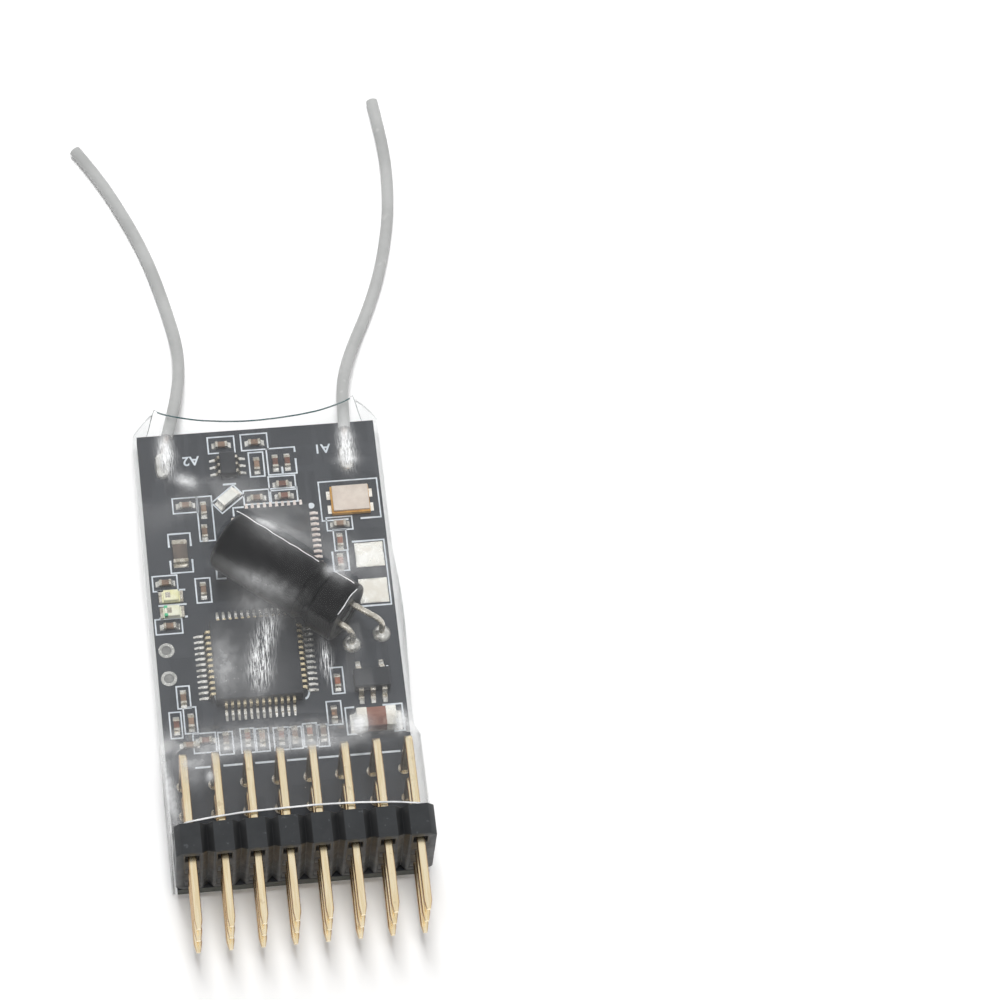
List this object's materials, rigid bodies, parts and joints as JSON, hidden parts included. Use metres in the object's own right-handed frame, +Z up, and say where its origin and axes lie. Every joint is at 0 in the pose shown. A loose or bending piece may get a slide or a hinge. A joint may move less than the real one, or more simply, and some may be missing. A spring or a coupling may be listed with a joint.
{
  "type": "rc receiver",
  "caption": "Small radio-control receiver: bare circuit board with a right-angle pin header, wire antennas and a reservoir capacitor, all in a clear shrink sleeve.",
  "frame": {"origin": "middle of the part without its antennas, on the surface that the sleeve lies on", "axes": "+Y from the pin header towards the antennas, +Z up out of the populated side of the board, +X to the right when seen from the pins"},
  "size_m": [0.0276, 0.0784, 0.0098],
  "materials": {
    "board_laminate": "grey-black solder mask, slightly glossy",
    "header_plastic": "black moulded plastic, fine grain",
    "pin_gold": "thin gold plating, a little worn at the tips",
    "solder": "bright tinned solder",
    "chip_plastic": "black moulded package",
    "tinned_lead": "tinned, satin",
    "crystal_tray_ceramic": "brown ceramic",
    "crystal_lid_metal": "plated lid, satin",
    "can_aluminium": "bright drawn aluminium",
    "can_jacket": "glossy black shrunk jacket",
    "bung_rubber": "matt black",
    "resistor_body": "dark glaze, tinned ends",
    "ceramic_capacitor_body": "tan ceramic, tinned ends",
    "filter_body": "white ceramic, tinned ends",
    "lamp_yellow": "clear moulding over a pale yellow base",
    "lamp_green": "clear moulding over a pale base with green marks",
    "plated_pad": "plated ring",
    "clear_film": "clear shrink film, wrinkled and glossy",
    "antenna_core_copper": "tinned copper wire",
    "antenna_grey": "grey jacket, satin"
  },
  "bodies": {
    "root": {"antenna_core_left": "antenna_core_copper", "antenna_core_right": "antenna_core_copper", "antenna_filter": "filter_body", "antenna_left": "antenna_grey", "antenna_right": "antenna_grey", "antenna_solder_left": "solder", "antenna_solder_right": "solder", "bridge_pads": "solder", "capacitor_bung": "bung_rubber", "capacitor_can": "can_aluminium", "capacitor_jacket": "can_jacket", "capacitor_long_lead": "tinned_lead", "capacitor_short_lead": "tinned_lead", "capacitor_solder": "solder", "chip_capacitors": "ceramic_capacitor_body", "chip_resistors": "resistor_body", "circuit_board": "board_laminate", "clear_sleeve": "clear_film", "crystal_lid": "crystal_lid_metal", "crystal_pads": "solder", "crystal_tray": "crystal_tray_ceramic", "green_lamp": "lamp_green", "header_housing": "header_plastic", "header_solder": "solder", "large_ceramic": "ceramic_capacitor_body", "large_resistor": "resistor_body", "lower_pin_1": "pin_gold", "lower_pin_2": "pin_gold", "lower_pin_3": "pin_gold", "lower_pin_4": "pin_gold", "lower_pin_5": "pin_gold", "lower_pin_6": "pin_gold", "lower_pin_7": "pin_gold", "lower_pin_8": "pin_gold", "mcu_body": "chip_plastic", "mcu_leads": "tinned_lead", "middle_pin_1": "pin_gold", "middle_pin_2": "pin_gold", "middle_pin_3": "pin_gold", "middle_pin_4": "pin_gold", "middle_pin_5": "pin_gold", "middle_pin_6": "pin_gold", "middle_pin_7": "pin_gold", "middle_pin_8": "pin_gold", "radio_body": "chip_plastic", "radio_pads": "solder", "regulator_body": "chip_plastic", "regulator_leads": "tinned_lead", "ring_pads": "plated_pad", "switch_body": "chip_plastic", "switch_leads": "tinned_lead", "upper_pin_1": "pin_gold", "upper_pin_2": "pin_gold", "upper_pin_3": "pin_gold", "upper_pin_4": "pin_gold", "upper_pin_5": "pin_gold", "upper_pin_6": "pin_gold", "upper_pin_7": "pin_gold", "upper_pin_8": "pin_gold", "yellow_lamp": "lamp_yellow"}
  },
  "joints": []
}
